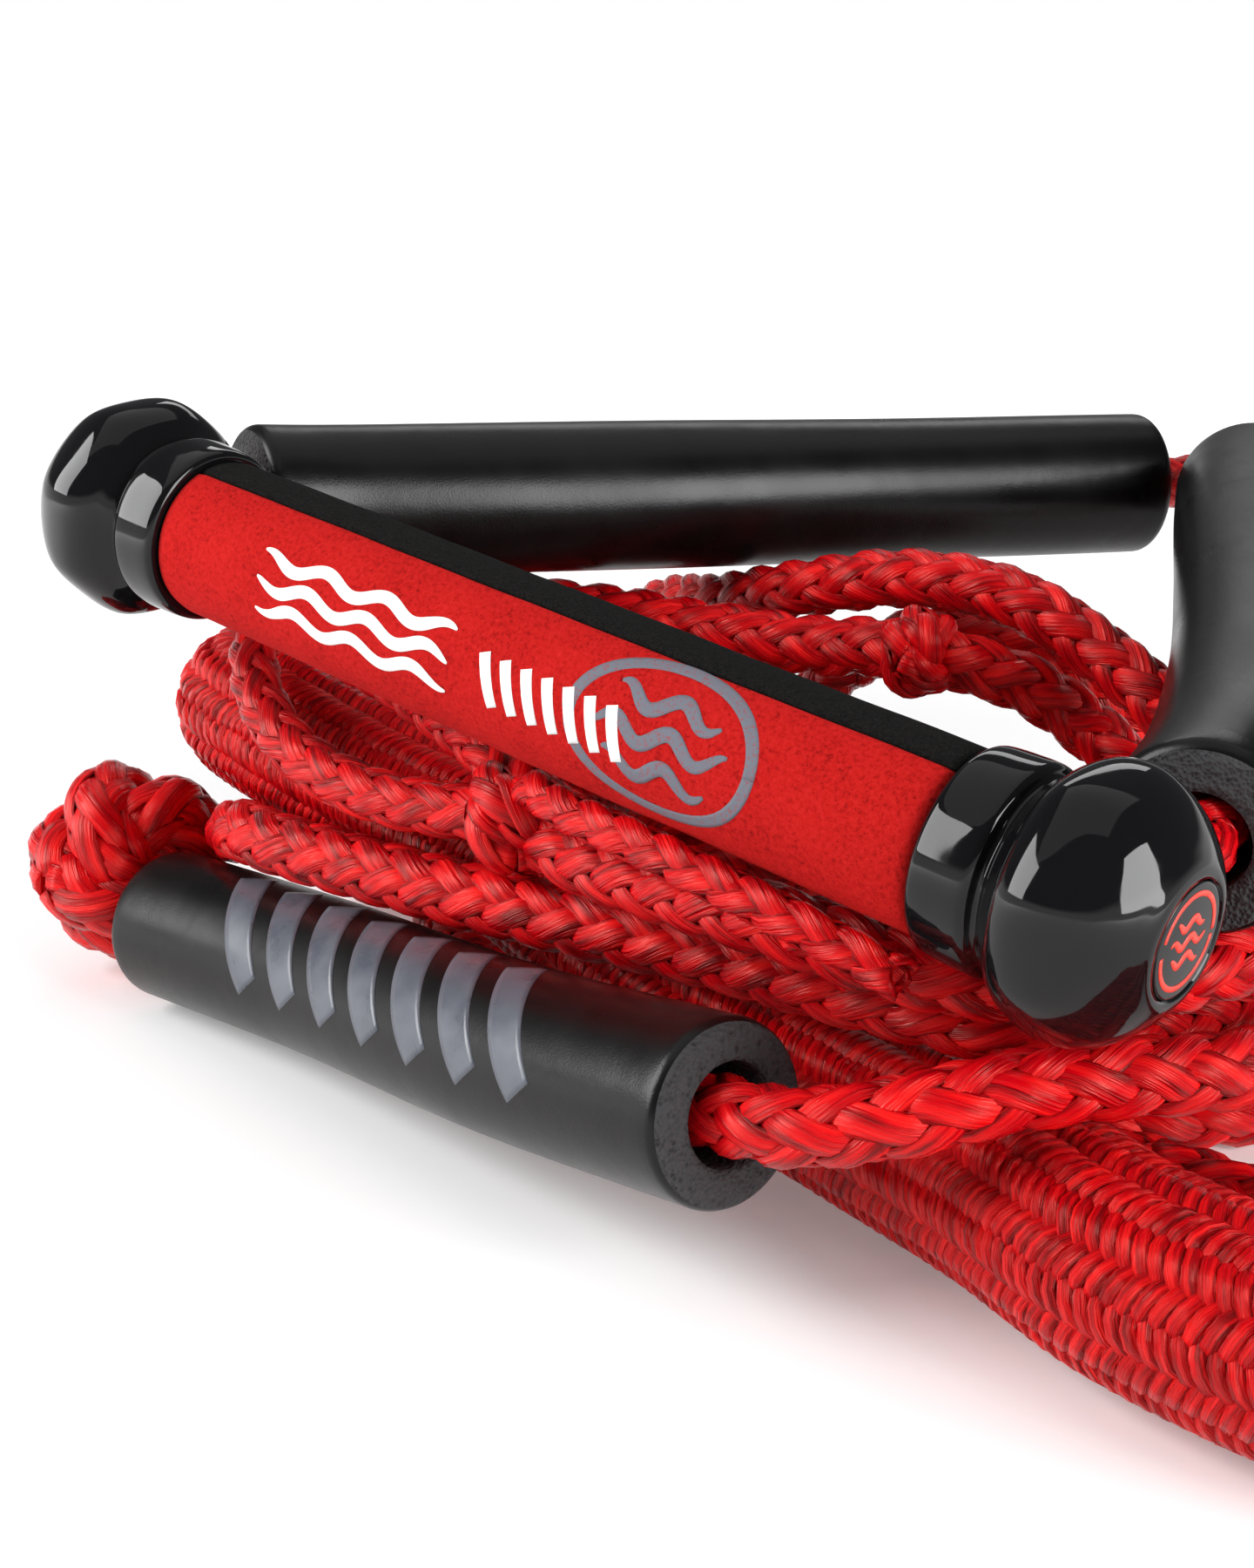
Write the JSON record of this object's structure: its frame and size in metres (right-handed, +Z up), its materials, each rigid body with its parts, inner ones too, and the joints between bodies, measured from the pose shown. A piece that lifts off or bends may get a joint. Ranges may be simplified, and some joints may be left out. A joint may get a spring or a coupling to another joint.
{
  "type": "tow rope handle",
  "caption": "Water-sports tow rope handle with a foam-covered bridle, lying on its coiled braided rope beside a foam float and a stopper knot.",
  "frame": {"origin": "middle of the footprint, on the floor that the coiled rope lies on", "axes": "+X along the handle bar towards its lower end, +Y from the bar towards the bridle's apex, +Z up"},
  "size_m": [0.3584, 0.2904, 0.1253],
  "materials": {
    "bar": "satin tube",
    "core_foam": "closed-cell foam",
    "grip_foam": "soft foam",
    "grip_red": "brushed microfibre on foam",
    "grip_black": "open-pored foam rubber",
    "cap": "high gloss moulding",
    "badge": "printed disc",
    "nylon": "moulded nylon",
    "foam": "smooth-skinned foam tube",
    "rope": "glossy braided polyethylene"
  },
  "bodies": {
    "rope_pile": {"woven_section": "rope", "woven_whip_rear": "rope", "woven_whip_front": "rope", "lead_rope": "rope", "link_rope": "rope", "front_run": "rope", "rear_knot": "rope", "eye_run": "rope", "eye_tail": "rope", "front_knot": "rope", "top_run": "rope", "splice_tail": "rope", "tail_run": "rope", "stopper_knot": "rope", "rope_hank": "rope"},
    "bridle": {"apex_knot": "rope", "bridle_rope_left": "rope", "bridle_rope_right": "rope", "bridle_stub_left": "rope", "bridle_stub_right": "rope"},
    "handle": {"bar_tube": "bar", "bar_core": "core_foam", "grip_core": "grip_foam", "grip_wrap": "grip_red", "grip_strip": "grip_black", "end_cap_left": "cap", "end_cap_right": "cap", "cap_badge_left": "badge", "cap_badge_right": "badge", "bar_plug_left": "nylon", "bar_plug_right": "nylon", "anchor_stop_left": "nylon", "anchor_stop_right": "nylon"},
    "left_foam": {"bridle_foam_left": "foam"},
    "right_foam": {"bridle_foam_right": "foam"},
    "float": {"tail_float": "foam"}
  },
  "joints": [
    {"name": "bridle_lift", "type": "hinge", "parent": "rope_pile", "child": "bridle", "pos_m": [-0.0111, 0.13218, 0.095], "axis": [-1, 0, 0], "range_deg": [0, 40]},
    {"name": "bar_roll", "type": "hinge", "parent": "bridle", "child": "handle", "pos_m": [-0.0271, -0.10882, 0.0879], "axis": [0.9872, 0, -0.1595], "range_deg": [-15, 15], "deforming": ["bridle_stub_left", "bridle_stub_right"]},
    {"name": "left_foam_slide", "type": "slide", "parent": "bridle", "child": "left_foam", "axis": [0.4787, 0.8773, -0.034], "range_m": [-0.003, 0]},
    {"name": "right_foam_slide", "type": "slide", "parent": "bridle", "child": "right_foam", "axis": [-0.4147, 0.9023, 0.1176], "range_m": [-0.003, 0]},
    {"name": "float_slide", "type": "slide", "parent": "rope_pile", "child": "float", "axis": [0.984, -0.1563, 0.0857], "range_m": [0, 0.008]}
  ]
}
